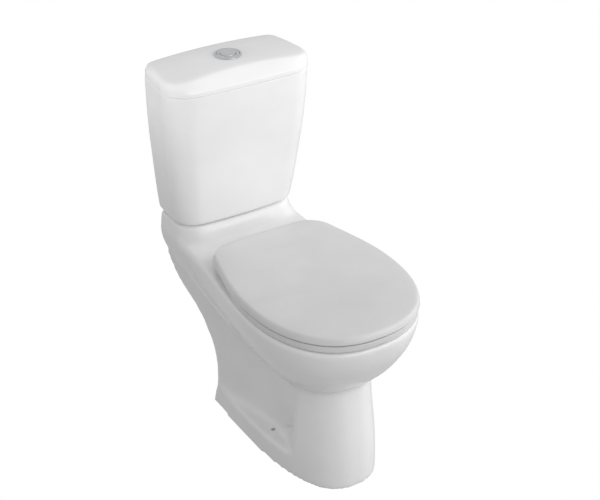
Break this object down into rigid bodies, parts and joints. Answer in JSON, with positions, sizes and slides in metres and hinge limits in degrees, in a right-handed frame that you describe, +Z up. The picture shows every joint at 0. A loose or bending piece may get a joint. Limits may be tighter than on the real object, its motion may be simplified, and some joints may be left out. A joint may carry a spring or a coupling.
{
  "type": "close-coupled toilet",
  "caption": "White close-coupled toilet: glazed pan on a hollow foot, cistern with lift-off lid and dual flush buttons, hinged seat and cover.",
  "frame": {"origin": "on the floor, at the middle of the plan", "axes": "+Z up, -Y to the front, +Y to the wall, +X to the right as seen from the front"},
  "size_m": [0.3552, 0.67, 0.8071],
  "materials": {
    "glazed_china": "glossy white glaze",
    "moulded_seat": "white moulded plastic, satin to glossy",
    "chrome": "bright chrome plate",
    "white_plastic": "plain white moulding",
    "grey_plastic": "plain grey moulding",
    "blue_plastic": "plain blue moulding",
    "rubber": "black rubber",
    "steel": "stainless",
    "brass": "plain brass"
  },
  "bodies": {
    "fixed": {"pan": "glazed_china", "cistern": "glazed_china", "hinge_post_left": "chrome", "hinge_post_right": "chrome", "hinge_pin_left": "steel", "hinge_pin_right": "steel", "hinge_washer_left": "rubber", "hinge_washer_right": "rubber", "hinge_nut_left": "white_plastic", "hinge_nut_right": "white_plastic", "flush_valve_base": "white_plastic", "valve_cage": "white_plastic", "valve_head": "blue_plastic", "valve_backnut": "white_plastic", "tank_gasket": "rubber", "tank_bolt_left": "brass", "tank_bolt_right": "brass", "bolt_washer_left": "rubber", "bolt_washer_right": "rubber", "plate_washer_left": "steel", "plate_washer_right": "steel", "wing_nut_left": "brass", "wing_nut_right": "brass", "fill_valve_body": "white_plastic", "fill_washer": "rubber", "fill_backnut": "white_plastic"},
    "lid": {"cistern_lid": "glazed_china", "button_bezel": "chrome", "button_nut": "white_plastic"},
    "full_flush": {"full_button": "chrome", "full_rod": "white_plastic"},
    "half_flush": {"half_button": "chrome", "half_rod": "white_plastic"},
    "seat": {"seat_ring": "moulded_seat", "seat_bumper_front_left": "rubber", "seat_bumper_front_right": "rubber", "seat_bumper_rear_left": "rubber", "seat_bumper_rear_right": "rubber"},
    "cover": {"seat_cover": "moulded_seat", "cover_bumper_front": "rubber", "cover_bumper_left": "rubber", "cover_bumper_right": "rubber"},
    "float": {"fill_float": "grey_plastic", "float_link": "grey_plastic"},
    "arm": {"float_arm": "blue_plastic"},
    "valve": {"overflow_tube": "blue_plastic", "flush_seal": "rubber"}
  },
  "joints": [
    {"name": "lid_lift", "type": "slide", "parent": "fixed", "child": "lid", "axis": [0, 0, 1], "range_m": [0, 0.12]},
    {"name": "full_button_press", "type": "slide", "parent": "lid", "child": "full_flush", "axis": [0, 0, -1], "range_m": [0, 0.006], "stiffness_N_per_m": 200, "springref_m": -0.004},
    {"name": "half_button_press", "type": "slide", "parent": "lid", "child": "half_flush", "axis": [0, 0, -1], "range_m": [0, 0.006], "stiffness_N_per_m": 200, "springref_m": -0.004},
    {"name": "seat_hinge", "type": "hinge", "parent": "fixed", "child": "seat", "pos_m": [0, 0.1135, 0.4145], "axis": [-1, 0, 0], "range_deg": [0, 91]},
    {"name": "cover_hinge", "type": "hinge", "parent": "seat", "child": "cover", "pos_m": [0, 0.1135, 0.4145], "axis": [1, 0, 0], "range_deg": [-93, 0]},
    {"name": "float_rise", "type": "slide", "parent": "fixed", "child": "float", "axis": [0, 0, 1], "range_m": [0, 0.018]},
    {"name": "arm_pivot", "type": "hinge", "parent": "fixed", "child": "arm", "pos_m": [0.076, 0.248, 0.6742], "axis": [0, -1, 0], "range_deg": [0, 31]},
    {"name": "valve_lift", "type": "slide", "parent": "fixed", "child": "valve", "axis": [0, 0, 1], "range_m": [0, 0.021]}
  ],
  "couplings": [
    {"joint": "arm_pivot", "follows": "float_rise", "rad_per_m": 29.5},
    {"joint": "valve_lift", "follows": "full_button_press", "ratio": 3.5}
  ]
}
